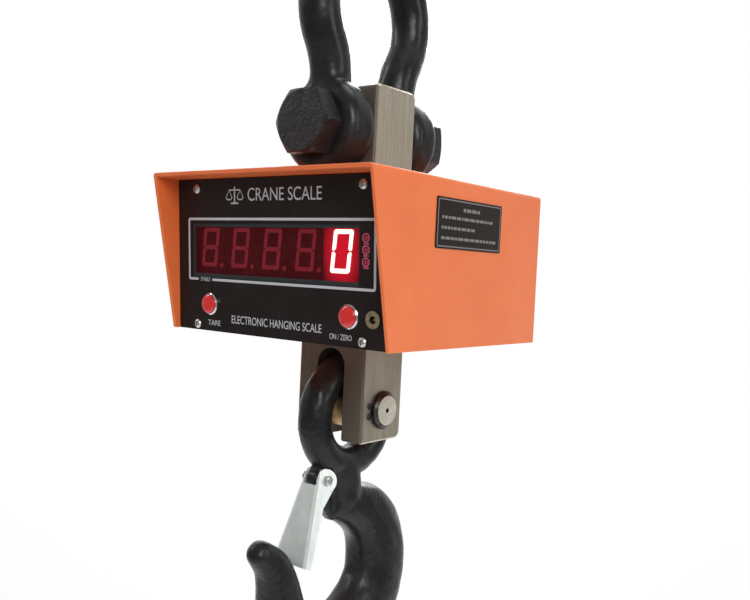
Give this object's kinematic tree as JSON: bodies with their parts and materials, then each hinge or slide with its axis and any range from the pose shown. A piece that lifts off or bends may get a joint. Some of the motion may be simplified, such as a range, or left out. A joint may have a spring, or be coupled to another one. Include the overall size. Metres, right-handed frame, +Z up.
{
  "type": "crane scale",
  "caption": "Hanging crane scale: shackle above, load cell through a display housing with two push buttons, latched eye hook below.",
  "frame": {"origin": "point inside the shackle's crown that bears on the crane's hook, on the load cell's centre line", "axes": "+X to the right across the display, +Y from the display to the back, +Z up"},
  "size_m": [0.2178, 0.2233, 0.6069],
  "materials": {
    "black_paint": "gloss black enamel over a forging",
    "orange_paint": "orange stove enamel, light texture",
    "black_panel": "satin black printed panel",
    "bright_steel": "ground steel, brushed along its length",
    "zinc": "bright zinc plating",
    "bronze": "plain bearing bronze",
    "brass": "turned brass, lightly dulled",
    "chrome": "polished chrome",
    "red_plastic": "gloss red",
    "lens": "smoked filter window",
    "black_plastic": "matte black",
    "digit_plastic": "dark face with light windows",
    "lamp": "tinted lamp",
    "board": "green solder mask",
    "cable": "grey-black sheath",
    "spring_steel": "spring steel"
  },
  "bodies": {
    "shackle": {"shackle_bow": "black_paint", "shackle_bolt": "black_paint", "shackle_nut": "black_paint", "shackle_cotter_pin": "zinc"},
    "scale": {"load_cell": "bright_steel", "gauge_pocket_covers": "zinc", "hook_pin": "bright_steel", "hook_pin_circlips": "spring_steel", "hook_pin_bush": "bronze", "hood": "orange_paint", "chassis": "orange_paint", "cell_bracket_left": "zinc", "cell_bracket_right": "zinc", "cell_bracket_bolts": "zinc", "panel_screws": "zinc", "rear_screws": "zinc", "base_screws": "zinc", "battery_strap_screws": "zinc", "front_panel": "black_panel", "display_lens": "lens", "led_digit_1": "digit_plastic", "led_digit_2": "digit_plastic", "led_digit_3": "digit_plastic", "led_digit_4": "digit_plastic", "led_digit_5": "digit_plastic", "display_board": "board", "display_spacers": "zinc", "indicator_leds": "lamp", "tare_button_body": "chrome", "tare_button_nut": "zinc", "tare_button_spring": "spring_steel", "power_button_body": "chrome", "power_button_nut": "zinc", "power_button_spring": "spring_steel", "charge_socket": "brass", "charge_socket_nut": "brass", "rating_plate": "black_panel", "main_board": "board", "board_spacers": "zinc", "board_screws": "zinc", "board_components": "black_plastic", "battery": "black_plastic", "battery_strap": "zinc", "load_cell_cable": "cable", "display_cable": "cable"},
    "tare_button": {"tare_button_cap": "red_plastic"},
    "power_button": {"power_button_cap": "red_plastic"},
    "hook": {"hook_body": "black_paint", "latch_pin": "zinc"},
    "latch": {"latch": "zinc", "latch_spring": "spring_steel"}
  },
  "joints": [
    {"name": "scale_swing", "type": "hinge", "parent": "shackle", "child": "scale", "pos_m": [0, 0, -0.1365], "axis": [0, 1, 0], "range_deg": [-75, 75]},
    {"name": "hook_swing", "type": "hinge", "parent": "scale", "child": "hook", "pos_m": [0, 0, -0.3535], "axis": [1, 0, 0], "range_deg": [-30, 40]},
    {"name": "latch_hinge", "type": "hinge", "parent": "hook", "child": "latch", "pos_m": [0, -0.03456, -0.40855], "axis": [1, 0, 0], "range_deg": [0, 38], "stiffness_Nm_per_rad": 0.03, "springref_deg": -85.94},
    {"name": "tare_press", "type": "slide", "parent": "scale", "child": "tare_button", "axis": [0, 0.9979, 0.0649], "range_m": [0, 0.002], "stiffness_N_per_m": 500, "springref_m": -0.002, "deforming": ["tare_button_spring"]},
    {"name": "power_press", "type": "slide", "parent": "scale", "child": "power_button", "axis": [0, 0.9979, 0.0649], "range_m": [0, 0.002], "stiffness_N_per_m": 500, "springref_m": -0.002, "deforming": ["power_button_spring"]}
  ]
}
